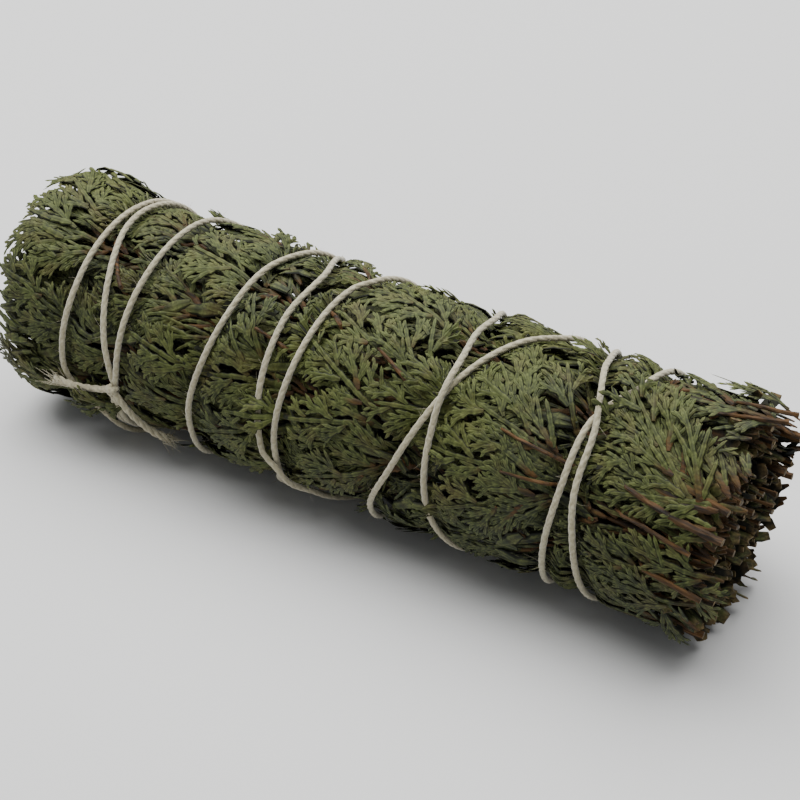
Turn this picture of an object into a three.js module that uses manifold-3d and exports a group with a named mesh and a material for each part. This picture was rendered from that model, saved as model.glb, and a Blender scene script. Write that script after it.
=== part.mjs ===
// A dried cedar smudge stick. Flat sprays of cedar lie like shingles round a bunch of inner
// sprays, tips one way and cut stems the other, and one cotton string is wound along the stick
// and back and tied where it began.
//
// Millimetres, +Z up. The stick lies along X with its leafy tips at -X and its cut stems at +X.
// A place on it is given by x, by its distance from the stick's middle line, and by an angle
// round that line: 0 on top, 90 degrees at the front (-Y), 180 underneath.
import * as THREE from "three";
import { mergeVertices } from "three/addons/utils/BufferGeometryUtils.js";
import Module from "manifold-3d";

const wasm = await Module();
wasm.setup();

// The bundle
const TIPS_X = -57;
const CUT_X = 48;
const CUT_SLANT = 1.5; // the cut leans: further out on top, less underneath
const BUNDLE_RADIUS = 14.3; // over the leaves, at x = 0
const TAPER = 0.011; // radius lost for each millimetre towards the cut stems
const FLARE = 1.3; // how far the tips stand out at the top of the leafy end
const FLARE_X = [-57, -44];
const REST_DEPTH = 13.4; // from the middle line down to the pressed underside of the leaves
const PRESS_POWER = 11; // how sharply the round sides turn into that underside

// The outer sprays. Spray n starts n steps along the stick and a golden angle further round, and
// sinks inwards towards its stem, so that each one lies over the stems of those before it.
const FIRST_SPRAY = -8;
const LAST_SPRAY = 43;
const SPRAY_STEP = 2.08;
const GOLDEN_ANGLE = 137.508;
const FIRST_ANGLE = 20;
const LEAN = 0.145; // depth gained for each millimetre along
const RIDGE = 0.9; // thickness of a spray along its stem
const TWIG_RIDGE = 0.62; // thickness along a side twig
const TILT = 7; // degrees that the sprays lie askew, tips turned towards the top at the front
const TILT_SPREAD = 5;

// One spray, laid flat: distances from its tip along the stem, and out from the stem
const SPRAY_LENGTH = 37;
const TERMINAL = 6.8;
const WHORLS = [
  { at: 5.4, twig: 6.4, teeth: 1 },
  { at: 10.6, twig: 10, teeth: 2 },
  { at: 16, twig: 12, teeth: 2 },
  { at: 21.6, twig: 12, teeth: 2 },
];
const TWIG_ANGLE = 42;
const TWIG_ROOT = 2; // width where a side twig leaves the stem
const TWIG_RISE = 0.8; // how far towards the tip that root stands from its ridge's start
const TWIG_STAGGER = 0.8; // how far the two twigs of a whorl stand apart along the stem
const TOOTH_SPREAD = 2.05;
const TOOTH_REACH = 2.1;
const INNER_TOOTH = 0.78; // of the teeth that face the stem, against the outer ones
const NOTCH_SPREAD = 0.46; // of the notch beyond a tooth, against the tooth's spread
const NOTCH_REACH = 1.2;
const TERMINAL_WIDTH = 0.62; // of the terminal twig, against a side twig
const STEM_HALF_WIDTH = [0.6, 0.9]; // at the tip, and at the base
const BUTT_X = 38; // from here to the cut, the stems that reach it are thick
const BUTT_HALF_WIDTH = 1.4;
const BUTT_KEEL = 1.1;

// The inner bunch: leafy for most of its length, and bare stems at the cut end
const CORE_RADIUS = 8.1;
const CORE_SIDES = 14;
const CORE_TIPS_X = -51;
const CORE_STEMS_X = 42;
const MEETING_X = 33; // where the leafy and the woody part meet
const GAP = 0.3;
const WELD = 0.001;
const INNER_TIP_X = -55.5;
const INNER_TIP_JITTER = 1.4;
const RIM_TIPS = 8; // small sprays round the rim of the bunch, at the tip end
const RIM_TIP = { radius: 9.9, length: 12.7, sink: 3.2, whorls: [{ at: 5.4, twig: 5.6, teeth: 1 }] };
const TIP_PITCH = 3.5; // of the single twigs within that rim
const TIP_TWIG = { length: 8, width: 1.15, teeth: 2 }; // width against a terminal twig's
const TIP_ROOT = 0.7;
const STEM_BUNCH_RADIUS = 7.4;
const STEM_PITCH = 2.95;
const PACKED_RINGS = 2; // rings of stems, or of twigs, round the middle one
const STEM_RADII = [1.15, 1.45];
const STEM_SIDES = 7;
const STEM_JITTER = 1.6;

// The string, and its centre line as [angle, x] stations. A turn runs up the front, over the top
// and down the back, so the angle falls all the way.
const STRING_DIAMETER = 1.15;
const STRING_SIDES = 6;
const STRING_STEP = 17; // degrees
const STRING_CLEARANCE = 0.25;
const FIRST_LOOP = [
  [95, -35], [85, -35.6], [74, -36.4], [58, -37.4], [43, -38.4], [28, -39.6], [12, -40.8],
  [-8, -41.4], [-60, -41.4], [-120, -40.2], [-180, -38.2], [-240, -36], [-265, -35],
];
const WINDING = [
  // out: knot, C, D, F, H and the last turn
  [95, -34.8], [87, -34.4], [59, -33.9], [34, -33.4], [8, -33.2], [-24, -33.1],
  [-247, -23.3], [-269, -22.6], [-298, -20.8], [-323, -19.6], [-352, -18.8], [-376, -17.5],
  [-590, -11.2], [-604, -9.8], [-634, -9.2], [-676, -7.9], [-719, -6.7], [-731, -5.7],
  [-961, 3.7], [-998, 7.9], [-1025, 10.7], [-1052, 13.4], [-1084, 17.3], [-1105, 20.5],
  [-1321, 27.9], [-1344, 28.6], [-1375, 29.6], [-1408, 30.1], [-1424, 31.6], [-1440, 33.3],
  // and back: the two near the stems, G, E, A and the knot
  [-1560, 34.6], [-1680, 33], [-1709, 32.4], [-1736, 31.4], [-1766, 31.2], [-1782, 30],
  [-1805, 27.8], [-2034, 14.2], [-2065, 12.7], [-2102, 12.2], [-2130, 12.4], [-2155, 11.5],
  [-2180, 11.1], [-2410, -8.6], [-2419, -11.1], [-2449, -11.9], [-2486, -12], [-2528, -12],
  [-2700, -33.5], [-2779, -43.2], [-2796, -43.5], [-2834, -42.8], [-2893, -42.8],
  [-2950, -43.2], [-3000, -42.4], [-3060, -40.2], [-3120, -37], [-3145, -34.8],
];
// Where the string climbs over a turn laid before it: [angle, half length in degrees]
const CROSSINGS = [
  [-1786, 40], [-2123, 34], [-1899, 26], [-2305, 26], [-2407, 30], [-2579, 26], [-2659, 26],
  [-2735, 30],
];
const CROSSING_LIFT = 1.4;
const KNOT = { angle: 97, x: -34.9, radius: 0.95, thickness: 0.62 };
const SHORT_TAIL = [
  [97, -34.9, 0.5], [99, -37.5, 0.6], [98, -40.5, 1.1], [97, -43, 1.5], [97, -44.8, 1.1],
];
const LONG_TAIL = [
  [97, -34.9, 0.5], [105, -33.6, 0.5], [114, -31.6, 0.4], [123, -29.6, 0.3], [128, -27.6, 0.2],
];

const radians = THREE.MathUtils.degToRad;

// A repeatable value from -1 to 1 for the nth of something, from two irrational strides.
function scatter(n, kind) {
  const v = n * 0.7548776662 + kind * 0.569840291;
  return 2 * (v - Math.floor(v)) - 1;
}

// Radius over the leaves at a place.
function outerRadius(x, angle) {
  const flare = FLARE * (1 - THREE.MathUtils.smoothstep(x, ...FLARE_X));
  return BUNDLE_RADIUS - TAPER * x + flare * Math.max(0, Math.cos(radians(angle)));
}

// The point at a place, with the underside of everything pressed flat in proportion.
function place(x, radius, angle) {
  const a = radians(angle);
  const share = (outerRadius(x, angle) * Math.max(0, -Math.cos(a))) / REST_DEPTH;
  const press = (1 + share ** PRESS_POWER) ** (-1 / PRESS_POWER);
  return new THREE.Vector3(x, -radius * press * Math.sin(a), radius * press * Math.cos(a));
}

// Where the cut crosses the stick at an angle round it.
function cutX(angle) {
  return CUT_X + CUT_SLANT * Math.cos(radians(angle));
}

// A closed surface gathered as points and triangles, laid flat at first. A point is (down, out,
// lift): down from the spray's tip along its stem, out to one side, lift off the flat back.
class Blade {
  points = [];
  faces = [];

  point(down, out, lift = 0) {
    return this.points.push([down, out, lift]) - 1;
  }

  // Triangles of a fan, their front on the lifted side when their corners run anticlockwise as
  // seen with the tip up and positive out to the left.
  fan(...corners) {
    for (let i = 2; i < corners.length; i++) {
      this.faces.push(corners[0], corners[i - 1], corners[i]);
    }
  }

  geometry(placed) {
    const positions = this.points.flatMap((p) => placed(...p).toArray());
    return new THREE.BufferGeometry()
      .setAttribute("position", new THREE.Float32BufferAttribute(positions, 3))
      .setIndex(this.faces);
  }
}

// A toothed twig that grows on from three points: its ridge and its left and right edges. It
// runs from [down, out] at an angle from the stem's own line, a ridge with a pair of pointed
// teeth for each tooth asked for, and one at its tip. At no angle it is the terminal twig.
function growTwig(blade, ridge, left, right, [down, out], angle, length, teeth) {
  const along = [-Math.cos(angle), Math.sin(angle)];
  const wide = angle === 0 ? TERMINAL_WIDTH : 1;
  const [leftSpread, rightSpread] = [1, -1].map(
    (side) => TOOTH_SPREAD * (side * angle < 0 ? INNER_TOOTH : 1) * wide,
  );
  const point = (a, b, lift) =>
    blade.point(down + a * along[0] + b * along[1], out + a * along[1] - b * along[0], lift);
  const pitch = (length - TOOTH_REACH) / (teeth + 1);
  for (let tooth = 1; tooth <= teeth; tooth++) {
    const at = pitch * (tooth + 0.3);
    const narrow = 1 - 0.3 * (tooth / (teeth + 1));
    const nextRidge = point(at, 0, TWIG_RIDGE * (1 - 0.15 * tooth));
    const leftTip = point(at + TOOTH_REACH, leftSpread * narrow);
    const rightTip = point(at + TOOTH_REACH, -rightSpread * narrow);
    const leftNotch = point(at + NOTCH_REACH, NOTCH_SPREAD * leftSpread * narrow);
    const rightNotch = point(at + NOTCH_REACH, -NOTCH_SPREAD * rightSpread * narrow);
    blade.fan(ridge, nextRidge, leftTip, left);
    blade.fan(nextRidge, leftNotch, leftTip);
    blade.fan(ridge, right, rightTip, nextRidge);
    blade.fan(nextRidge, rightTip, rightNotch);
    blade.fan(left, leftTip, leftNotch);
    blade.fan(right, rightNotch, rightTip);
    blade.fan(left, leftNotch, rightNotch, right);
    [ridge, left, right] = [nextRidge, leftNotch, rightNotch];
  }
  const tip = point(length, 0, 0);
  blade.fan(ridge, tip, left);
  blade.fan(ridge, right, tip);
  blade.fan(left, tip, right);
}

// A whole spray laid flat: a terminal twig, whorls of side twigs and a bare stem to its end,
// which from the butt on is wider and has a keel of the given depth under it.
function flatSpray(length, whorls, butt = Infinity, keel = 0) {
  const blade = new Blade();
  const halfWidth = (down) =>
    THREE.MathUtils.mapLinear(down, 0, SPRAY_LENGTH, ...STEM_HALF_WIDTH);
  const angle = radians(TWIG_ANGLE);
  let before = null; // the ridge and edges that the last whorl left behind it
  whorls.forEach((whorl, i) => {
    const ridge = blade.point(whorl.at, 0, RIDGE);
    const w = halfWidth(whorl.at);
    const edge = (side, end) =>
      blade.point(whorl.at - TWIG_RISE + (side * TWIG_STAGGER + end * TWIG_ROOT) / 2, side * w);
    const [leftTop, leftFoot] = [edge(1, -1), edge(1, 1)];
    const [rightTop, rightFoot] = [edge(-1, -1), edge(-1, 1)];
    if (i === 0) {
      growTwig(blade, ridge, leftTop, rightTop, [whorl.at, 0], 0, TERMINAL, 2);
    } else {
      joinStem(blade, before, { ridge, left: leftTop, right: rightTop });
    }
    const root = [whorl.at, 0];
    growTwig(blade, ridge, leftFoot, leftTop, root, angle, whorl.twig, whorl.teeth);
    growTwig(blade, ridge, rightTop, rightFoot, root, -angle, whorl.twig, whorl.teeth);
    blade.fan(leftFoot, leftTop, rightTop, rightFoot);
    before = { ridge, left: leftFoot, right: rightFoot };
  });
  const last = whorls[whorls.length - 1].at;
  const pieces = Math.max(1, Math.round((length - last) / 9));
  for (let i = 1; i <= pieces; i++) {
    const down = THREE.MathUtils.lerp(last + TWIG_ROOT, length, i / pieces);
    const w = down < butt ? halfWidth(down) : BUTT_HALF_WIDTH;
    const next = {
      ridge: blade.point(down, 0, RIDGE),
      left: blade.point(down, w),
      right: blade.point(down, -w),
    };
    if (down >= butt) next.keel = blade.point(down, 0, -keel);
    joinStem(blade, before, next);
    before = next;
  }
  const { ridge, left, right, under } = { ...before, under: before.keel };
  blade.fan(...(under === undefined ? [ridge, left, right] : [ridge, left, under, right]));
  return blade;
}

// The stretch of stem between one station, nearer the tip, and the next.
function joinStem(blade, a, b) {
  blade.fan(b.ridge, a.ridge, a.left, b.left);
  blade.fan(b.ridge, b.right, a.right, a.ridge);
  if (a.keel !== undefined) {
    blade.fan(b.left, a.left, a.keel, b.keel);
    blade.fan(b.keel, a.keel, a.right, b.right);
  } else if (b.keel !== undefined) {
    blade.fan(b.keel, b.left, a.left, a.right, b.right);
  } else {
    blade.fan(b.left, a.left, a.right, b.right);
  }
}

// Lays a flat blade on the stick: its tip at x and angle, askew by tilt, at the depth that
// layer(x, angle) gives for its flat back.
function wrap(blade, x, angle, tilt, layer) {
  const [c, s] = [Math.cos(radians(tilt)), Math.sin(radians(tilt))];
  return blade.geometry((down, out, lift) => {
    const px = x + down * c - out * s;
    const pa = angle + THREE.MathUtils.radToDeg((down * s + out * c) / BUNDLE_RADIUS);
    return place(px, layer(px, pa) + lift, pa);
  });
}

// Outer spray n.
function outerSpray(n) {
  const start = TIPS_X + n * SPRAY_STEP;
  const lastStart = TIPS_X + LAST_SPRAY * SPRAY_STEP;
  const x = Math.max(start, TIPS_X) + 1.2 + 1.2 * scatter(n, 1);
  const angle = FIRST_ANGLE + n * GOLDEN_ANGLE;
  const tilt = TILT + TILT_SPREAD * scatter(n, 2);
  const layer = (px, pa) =>
    outerRadius(px, pa) - RIDGE - LEAN * (Math.min(px, lastStart) - start);
  const room = (BUNDLE_RADIUS - RIDGE - CORE_RADIUS - GAP) / LEAN;
  const end = start + room > lastStart ? cutX(angle) + scatter(n, 3) : start + room;
  const length = (end - x) / Math.cos(radians(tilt));
  const whorls = WHORLS.filter((whorl) => whorl.at < length - 2.5);
  const keel = Math.min(BUTT_KEEL, layer(CUT_X, angle) - STEM_BUNCH_RADIUS - GAP);
  return wrap(flatSpray(length, whorls, BUTT_X - x, keel), x, angle, tilt, layer);
}

// A closed geometry as a solid.
function solidOf(geometry) {
  const bare = new THREE.BufferGeometry().setAttribute(
    "position",
    geometry.getAttribute("position"),
  );
  bare.setIndex(geometry.index);
  const merged = mergeVertices(bare, 1e-4);
  return new wasm.Manifold(
    new wasm.Mesh({
      numProp: 3,
      vertProperties: new Float32Array(merged.attributes.position.array),
      triVerts: new Uint32Array(merged.index.array),
    }),
  );
}

// One body of several. A bubble shut in between them comes out as a shell of its own, and goes.
// Corners closer than WELD become one, and the slivers between them vanish.
function fused(geometries) {
  const shells = geometries
    .map(solidOf)
    .reduce((sum, part) => sum.add(part))
    .decompose();
  const mesh = shells.reduce((a, b) => (a.volume() > b.volume() ? a : b)).getMesh();
  const welded = mergeVertices(
    new THREE.BufferGeometry()
      .setAttribute("position", new THREE.BufferAttribute(mesh.vertProperties, 3))
      .setIndex(new THREE.BufferAttribute(mesh.triVerts, 1)),
    WELD,
  );
  const corners = [];
  for (let i = 0; i < welded.index.count; i += 3) {
    const [a, b, c] = [0, 1, 2].map((k) => welded.index.getX(i + k));
    if (a !== b && b !== c && c !== a) corners.push(a, b, c);
  }
  return welded.setIndex(corners);
}

// A rod along X, pressed flat underneath as the rest is.
function rod(fromX, toX, radius, sides, angle = 0, offset = 0) {
  const geometry = new THREE.CylinderGeometry(radius, radius, toX - fromX, sides)
    .rotateZ(-Math.PI / 2)
    .rotateX(radians(180 * scatter(sides + offset, 4)))
    .translate((fromX + toX) / 2, 0, 0);
  const a = radians(angle);
  geometry.translate(0, -offset * Math.sin(a), offset * Math.cos(a));
  const p = geometry.getAttribute("position");
  for (let i = 0; i < p.count; i++) {
    const around = THREE.MathUtils.radToDeg(Math.atan2(-p.getY(i), p.getZ(i)));
    p.setXYZ(i, ...place(p.getX(i), Math.hypot(p.getY(i), p.getZ(i)), around).toArray());
  }
  return geometry;
}

// The middles of things packed round one in the middle, each with its angle and distance.
function packed(pitch) {
  const middles = [];
  for (let q = -PACKED_RINGS; q <= PACKED_RINGS; q++) {
    for (let r = -PACKED_RINGS; r <= PACKED_RINGS; r++) {
      if (Math.abs(q + r) > PACKED_RINGS) continue;
      const [y, z] = [pitch * (q + r / 2), pitch * r * Math.sin(Math.PI / 3)];
      const angle = THREE.MathUtils.radToDeg(Math.atan2(-y, z));
      middles.push({ angle, distance: Math.hypot(y, z) });
    }
  }
  return middles;
}

// The leafy part of the inner sprays: one packed body, with their tips standing out of its end.
function innerSprays() {
  const bunch = [rod(CORE_TIPS_X, MEETING_X - GAP / 2, CORE_RADIUS, CORE_SIDES)];
  for (let i = 0; i < RIM_TIPS; i++) {
    const angle = (360 * (i + 0.2 * scatter(i, 5))) / RIM_TIPS;
    const x = INNER_TIP_X + INNER_TIP_JITTER * scatter(i, 8);
    const layer = (px) => RIM_TIP.radius - (RIM_TIP.sink / RIM_TIP.length) * (px - x);
    bunch.push(wrap(flatSpray(RIM_TIP.length, RIM_TIP.whorls), x, angle, 0, layer));
  }
  packed(TIP_PITCH).forEach(({ angle, distance }, i) => {
    const blade = new Blade();
    const { length, width, teeth } = TIP_TWIG;
    const root = [
      blade.point(length, 0, RIDGE),
      blade.point(length, TIP_ROOT),
      blade.point(length, -TIP_ROOT),
    ];
    blade.fan(...root);
    growTwig(blade, ...root, [length, 0], 0, length, teeth);
    const x = INNER_TIP_X + INNER_TIP_JITTER * scatter(i, 9);
    const turn = radians(angle + 40 * scatter(i, 10));
    const a = radians(angle);
    bunch.push(
      blade.geometry((down, out, lift) => {
        const [across, high] = [width * out, lift - RIDGE / 2];
        return new THREE.Vector3(
          x + down,
          -distance * Math.sin(a) - across * Math.cos(turn) - high * Math.sin(turn),
          distance * Math.cos(a) - across * Math.sin(turn) + high * Math.cos(turn),
        );
      }),
    );
  });
  return fused(bunch);
}

// The woody part: the stems packed together, standing out of the bunch at the cut end.
function innerStems() {
  const bunch = [rod(MEETING_X + GAP / 2, CORE_STEMS_X, STEM_BUNCH_RADIUS, CORE_SIDES)];
  packed(STEM_PITCH).forEach(({ angle, distance }, i) => {
    const radius = THREE.MathUtils.mapLinear(scatter(i, 6), -1, 1, ...STEM_RADII);
    const end = CUT_X - 0.5 + STEM_JITTER * scatter(i, 7);
    bunch.push(rod(CORE_STEMS_X - 4, end, radius, STEM_SIDES, angle, distance));
  });
  return fused(bunch);
}

// The value at t of a smooth curve through [t, value] stations whose t only falls.
function through(stations, t) {
  let i = stations.findIndex((s) => s[0] <= t);
  i = Math.min(Math.max(i, 1), stations.length - 1);
  const slope = (k) => {
    const [a, b] = [stations[Math.max(k - 1, 0)], stations[Math.min(k + 1, stations.length - 1)]];
    return (b[1] - a[1]) / (b[0] - a[0]);
  };
  const [t0, v0] = stations[i - 1];
  const [t1, v1] = stations[i];
  const span = t1 - t0;
  const u = (t - t0) / span;
  const [u2, u3] = [u * u, u * u * u];
  return (
    v0 * (2 * u3 - 3 * u2 + 1) + slope(i - 1) * span * (u3 - 2 * u2 + u) +
    v1 * (3 * u2 - 2 * u3) + slope(i) * span * (u3 - u2)
  );
}

// A place on the string's line, a little above the leaves, and the direction that faces away
// from them there: straight down all along the flat underside.
function onString(angle, x, lift) {
  const above = STRING_CLEARANCE + STRING_DIAMETER / 2;
  const radius = outerRadius(x, angle) + above + lift;
  const a = radians(angle);
  const lowest = -(REST_DEPTH + above);
  const flat = radius * Math.cos(a) < lowest;
  return {
    at: new THREE.Vector3(x, -radius * Math.sin(a), Math.max(radius * Math.cos(a), lowest)),
    away: flat
      ? new THREE.Vector3(0, 0, -1)
      : new THREE.Vector3(0, -Math.sin(a), Math.cos(a)),
  };
}

// The points and outward directions of a wound length of string.
function woundLine(stations) {
  const [first, last] = [stations[0][0], stations[stations.length - 1][0]];
  const steps = Math.ceil((first - last) / STRING_STEP);
  return Array.from({ length: steps + 1 }, (_, i) => {
    const angle = THREE.MathUtils.lerp(first, last, i / steps);
    const lift = CROSSINGS.reduce((most, [at, half]) => {
      const near = Math.abs(angle - at) / half;
      return near < 1 ? Math.max(most, CROSSING_LIFT * Math.cos((near * Math.PI) / 2) ** 2) : most;
    }, 0);
    return onString(angle, through(stations, angle), lift);
  });
}

// A closed tube along a line of points, its section turned to face away from the middle line.
function tube(line, diameter) {
  const positions = [];
  const faces = [];
  const sides = STRING_SIDES;
  line.forEach(({ at, away }, i) => {
    const ahead = line[Math.min(i + 1, line.length - 1)].at;
    const behind = line[Math.max(i - 1, 0)].at;
    const along = ahead.clone().sub(behind);
    if (away.z === -1) along.z = 0; // the section stays level all along the flat underside
    along.normalize();
    const up = away.clone().addScaledVector(along, -away.dot(along)).normalize();
    const aside = along.clone().cross(up);
    for (let k = 0; k < sides; k++) {
      const t = (2 * Math.PI * (k + 0.5)) / sides;
      const point = at
        .clone()
        .addScaledVector(up, (diameter / 2) * Math.cos(t))
        .addScaledVector(aside, (diameter / 2) * Math.sin(t));
      positions.push(...point.toArray());
    }
  });
  for (let i = 0; i + 1 < line.length; i++) {
    for (let k = 0; k < sides; k++) {
      const [a, b] = [i * sides + k, i * sides + ((k + 1) % sides)];
      faces.push(a, b, b + sides, a, b + sides, a + sides);
    }
  }
  const lastRing = (line.length - 1) * sides;
  for (let k = 2; k < sides; k++) {
    faces.push(0, k, k - 1);
    faces.push(lastRing, lastRing + k - 1, lastRing + k);
  }
  return new THREE.BufferGeometry()
    .setAttribute("position", new THREE.Float32BufferAttribute(positions, 3))
    .setIndex(faces);
}

// A loose end of the string, through [angle, x, lift] stations.
function tail(stations) {
  const placed = stations.map(([angle, x, lift]) => onString(angle, x, lift));
  const curve = new THREE.CatmullRomCurve3(placed.map(({ at }) => at));
  return curve.getSpacedPoints(8).map((at) => ({ at, away: placed[0].away }));
}

// The whole string: the first loop, the winding, both tails and the knot that joins them.
function cottonString() {
  const lines = [woundLine(FIRST_LOOP), woundLine(WINDING), tail(SHORT_TAIL), tail(LONG_TAIL)];
  const middle = onString(KNOT.angle, KNOT.x, 0.5).at;
  const wraps = [-0.5, 0.55].map((shift, i) =>
    new THREE.TorusGeometry(KNOT.radius, KNOT.thickness, 6, 9)
      .rotateX(Math.PI / 2)
      .rotateZ(0.5 * (i ? 1 : -1))
      .translate(middle.x + shift, middle.y, middle.z),
  );
  const parts = [...lines.map((line) => tube(line, STRING_DIAMETER)), ...wraps];
  return fused(parts);
}

const leaves = new THREE.MeshStandardMaterial({ color: "#5d6b48", roughness: 0.9 });
const innerLeaves = new THREE.MeshStandardMaterial({ color: "#424c33", roughness: 0.95 });
const wood = new THREE.MeshStandardMaterial({ color: "#7a5a3c", roughness: 0.85 });
const cotton = new THREE.MeshStandardMaterial({ color: "#ddd6c2", roughness: 0.95 });

function named(name, geometry, material) {
  const mesh = new THREE.Mesh(geometry, material);
  mesh.name = name;
  return mesh;
}

const stick = new THREE.Group();
for (let n = FIRST_SPRAY; n <= LAST_SPRAY; n++) {
  const number = String(n - FIRST_SPRAY + 1).padStart(2, "0");
  stick.add(named(`spray_${number}`, outerSpray(n), leaves));
}
stick.add(named("inner_sprays", innerSprays(), innerLeaves));
stick.add(named("inner_stems", innerStems(), wood));
stick.add(named("string", cottonString(), cotton));

// Stands the stick on z = 0 with the middle of its length and width at the origin.
const box = new THREE.Box3().setFromObject(stick);
const centre = box.getCenter(new THREE.Vector3());
stick.position.set(-centre.x, -centre.y, -box.min.z);

export default stick;
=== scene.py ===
"""A dried cedar smudge stick: flat sprays of scale leaves round a bunch of stems, tied with string.

Lengths are millimetres in the stick's own layout, which is the one its solids are made in: the
stick lies along X, its leafy tips at -X and its cut stems at +X. A place on it is x, a distance
from the middle line and an angle round that line: 0 on top, 90 degrees at the front (-Y), 180
underneath. Foliage is drawn flat first, as distances down its stem, out to the side and up from
its back, and a placing turns those into points of the layout. to_frame() turns such points into
the metres of the shared frame.
"""

import bpy
import numpy as np
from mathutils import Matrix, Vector


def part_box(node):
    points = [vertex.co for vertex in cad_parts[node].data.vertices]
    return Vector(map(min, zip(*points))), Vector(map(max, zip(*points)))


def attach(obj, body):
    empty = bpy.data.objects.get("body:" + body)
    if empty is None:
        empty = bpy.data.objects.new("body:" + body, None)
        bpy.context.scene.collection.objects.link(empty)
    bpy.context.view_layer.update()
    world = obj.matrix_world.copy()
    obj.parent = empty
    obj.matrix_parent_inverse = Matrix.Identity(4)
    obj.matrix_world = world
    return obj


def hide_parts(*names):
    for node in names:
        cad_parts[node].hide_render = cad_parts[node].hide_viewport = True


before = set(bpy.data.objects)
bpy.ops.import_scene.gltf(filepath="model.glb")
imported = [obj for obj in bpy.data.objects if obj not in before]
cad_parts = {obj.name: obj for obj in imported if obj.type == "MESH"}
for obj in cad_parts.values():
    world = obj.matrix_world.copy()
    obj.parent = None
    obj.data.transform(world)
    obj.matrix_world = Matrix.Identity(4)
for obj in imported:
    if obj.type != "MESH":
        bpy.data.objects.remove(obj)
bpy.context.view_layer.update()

# The bundle, laid out as its solids are
TIPS_X = -57.0
CUT_X = 48.0
CUT_SLANT = 1.5  # how much further the cut end reaches on top
BUNDLE_RADIUS = 14.3
TAPER = 0.011  # of the radius, for each millimetre of x
FLARE = 1.3
FLARE_X = (-57.0, -44.0)
REST_DEPTH = 13.4  # of the flat underside
PRESS_POWER = 11
FIRST_SPRAY = -8
LAST_SPRAY = 43
SPRAY_STEP = 2.08
GOLDEN_ANGLE = 137.508
FIRST_ANGLE = 20.0
LEAN = 0.145  # of a spray into the bunch, for each millimetre from its tip
RIDGE = 0.9
TILT = 7.0
TILT_SPREAD = 5.0
SWEEP = 0.03  # the most that a spray's leafy end bends aside, in radians a millimetre
SWEEP_FROM = 16.0
CORE_RADIUS = 8.1
CORE_STEMS_X = 42.0
MEETING_X = 33.0  # of the leafy core and the inner stems
GAP = 0.3
STEM_BUNCH_RADIUS = 7.4
PACKED_RINGS = 2
BUTT_X = 38.0
STRING_DIAMETER = 1.15
STRING_CLEARANCE = 0.25
CROSSING_LIFT = 1.4
SHIFT_Y = 0.5314  # from the layout's middle line to the middle of the solids' box

# The string's route, as (angle, x), and where it crosses another turn, as (angle, half length)
FIRST_LOOP = [
    (95, -35), (85, -35.6), (74, -36.4), (58, -37.4), (43, -38.4), (28, -39.6), (12, -40.8),
    (-8, -41.4), (-60, -41.4), (-120, -40.2), (-180, -38.2), (-240, -36), (-265, -35),
]
WINDING = [
    (95, -34.8), (87, -34.4), (59, -33.9), (34, -33.4), (8, -33.2), (-24, -33.1),
    (-247, -23.3), (-269, -22.6), (-298, -20.8), (-323, -19.6), (-352, -18.8), (-376, -17.5),
    (-590, -11.2), (-604, -9.8), (-634, -9.2), (-676, -7.9), (-719, -6.7), (-731, -5.7),
    (-961, 3.7), (-998, 7.9), (-1025, 10.7), (-1052, 13.4), (-1084, 17.3), (-1105, 20.5),
    (-1321, 27.9), (-1344, 28.6), (-1375, 29.6), (-1408, 30.1), (-1424, 31.6), (-1440, 33.3),
    (-1560, 34.6), (-1680, 33), (-1709, 32.4), (-1736, 31.4), (-1766, 31.2), (-1782, 30),
    (-1805, 27.8), (-2034, 14.2), (-2065, 12.7), (-2102, 12.2), (-2130, 12.4), (-2155, 11.5),
    (-2180, 11.1), (-2410, -8.6), (-2419, -11.1), (-2449, -11.9), (-2486, -12), (-2528, -12),
    (-2700, -33.5), (-2779, -43.2), (-2796, -43.5), (-2834, -42.8), (-2893, -42.8),
    (-2950, -43.2), (-3000, -42.4), (-3060, -40.2), (-3120, -37), (-3145, -34.8),
]
CROSSINGS = [
    (-1786, 40), (-2123, 34), (-1899, 26), (-2305, 26), (-2407, 30), (-2579, 26), (-2659, 26),
    (-2735, 30),
]
# The two loose ends, as (angle, x, lift), and the knot
SHORT_TAIL = [
    (97, -34.9, 0.4), (100, -37.2, 0.5), (101.5, -39.5, 0.8), (101, -42, 1.3), (101, -44.6, 1.3),
]
LONG_TAIL = [
    (97, -34.9, 0.5), (105, -33.6, 0.7), (114, -32.2, 0.7), (124, -30.8, 0.6), (130, -28.6, 0.4),
]
KNOT_ANGLE = 97.0
KNOT_X = -34.9
KNOT_LIFT = 0.45
KNOT_RADIUS = 0.5
STRING_SINK = 0.35  # into the leaves
CROSSING_HUG = 0.75  # share of a solid crossing's lift and reach
PLIES = 3
PLY_RADIUS = 0.32
PLY_OFFSET = 0.1
PLY_PITCH = 4.2  # length of one full twist
PLY_SIDES = 6
FIBRE_PITCH = 1.4  # from one stray fibre to the next
FRAYED_FIBRES = 40

# The foliage, from the real plant
SCALE = 1.25  # length of a scale leaf on a twig
TWIG_HALF_WIDTH = 0.33
TWIG_HEIGHT = 0.2
SHOOT_HALF_WIDTH = 0.37
BRANCH_HALF_WIDTH = 0.43
STEM_HALF_WIDTH = 0.5
STEM_SIDES = 8
STEM_RADII = [0.36, 0.42, 0.45]
CUT_CROWN = 0.04  # of the middle of a cut end over its rim
LEADER = 14.5  # length of a stem's leafy end
LEAFY_LENGTH = 23.0  # of a stem, with side branches
BRANCH_PITCH = 1.9  # along a stem, from a branch to the next on the other side
BUTT_PITCH = 1.05  # the same near the cut
BRANCH_ANGLE = 31.0
BRANCH_AT = [0.0, 2.5, 5.4, 10.6, 16.0, 21.6, 27.0]
BRANCH_LENGTH = [1.8, 3.4, 6.4, 9.8, 11.8, 12.2, 11.0]
SHOOT_PITCH = 1.1  # the same along a branch
SHOOT_ANGLE = 26.0
SHOOT_REACH = (5.0, 0.52, 1.0)  # the longest, the share of what is left, and what is added
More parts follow.
